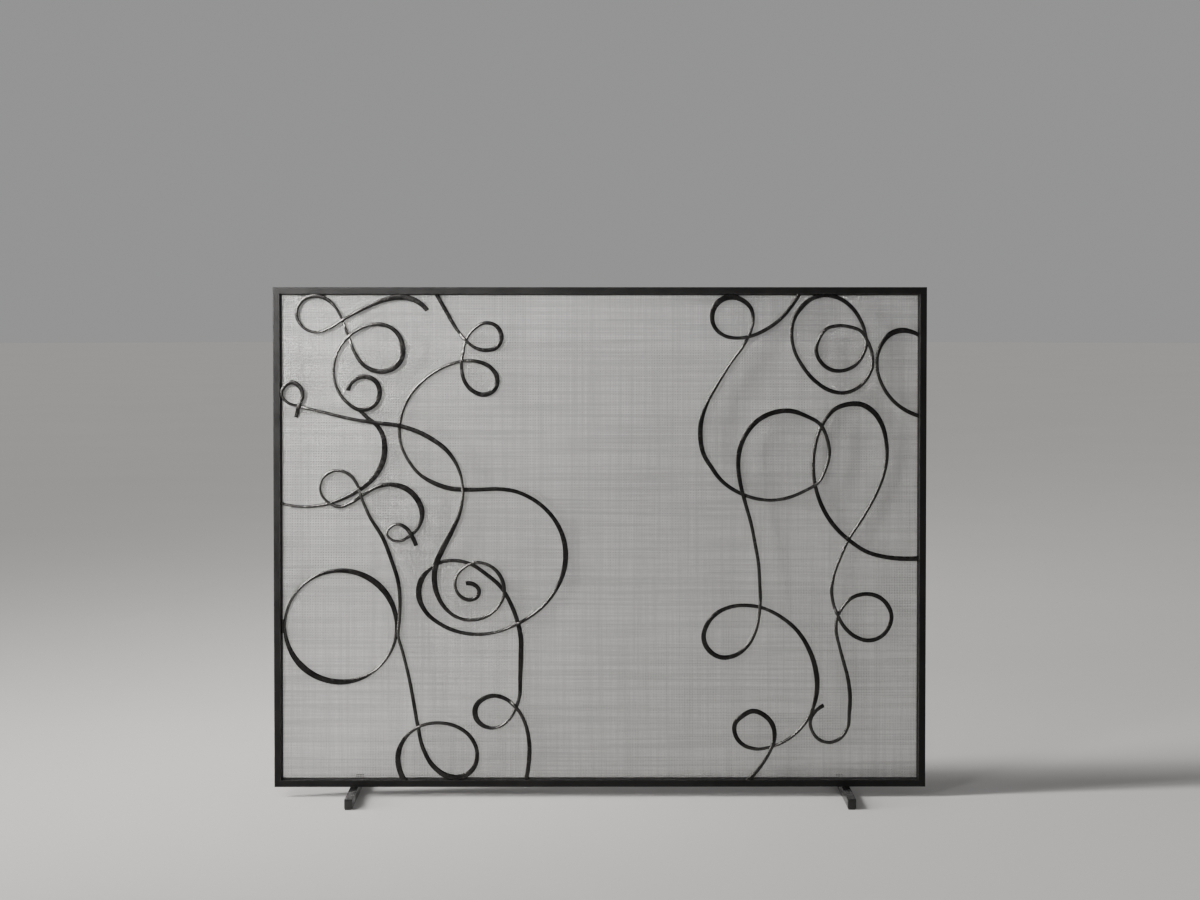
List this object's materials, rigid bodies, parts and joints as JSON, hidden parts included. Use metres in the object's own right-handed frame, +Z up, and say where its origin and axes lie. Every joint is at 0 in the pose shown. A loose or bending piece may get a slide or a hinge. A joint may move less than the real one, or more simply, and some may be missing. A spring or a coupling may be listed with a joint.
{
  "type": "fireplace screen",
  "caption": "Free-standing single-panel fireplace screen: square-bar frame on two cross feet, woven wire cloth and swelling forged scroll bars in front of it.",
  "frame": {"origin": "on the floor, at the middle of the footprint of the two feet", "axes": "+X along the screen to the viewer's right, +Y from the decorated front towards the hearth, +Z up"},
  "size_m": [1.118, 0.23, 0.876],
  "materials": {
    "frame_iron": "charcoal-black satin paint on iron bar",
    "channel_steel": "black satin paint on folded sheet steel",
    "wire_cloth": "bare drawn wire, bright silver grey",
    "scroll_iron": "charcoal-black semi-gloss on hammered iron",
    "screw_steel": "black-oxide steel",
    "pad_rubber": "matt black rubber"
  },
  "bodies": {
    "root": {"top_rail": "frame_iron", "bottom_rail": "frame_iron", "left_stile": "frame_iron", "right_stile": "frame_iron", "left_foot": "frame_iron", "right_foot": "frame_iron", "top_channel": "channel_steel", "bottom_channel": "channel_steel", "left_channel": "channel_steel", "right_channel": "channel_steel", "mesh_panel": "wire_cloth", "scroll_top_left": "scroll_iron", "scroll_left_spiral": "scroll_iron", "scroll_left_long": "scroll_iron", "scroll_left_arc": "scroll_iron", "scroll_lower_left": "scroll_iron", "scroll_left_ring": "scroll_iron", "scroll_right_long": "scroll_iron", "scroll_double_ring": "scroll_iron", "scroll_right_arc": "scroll_iron", "scroll_right_curls": "scroll_iron", "channel_screws": "screw_steel", "foot_screws": "screw_steel", "foot_pads": "pad_rubber"}
  },
  "joints": []
}
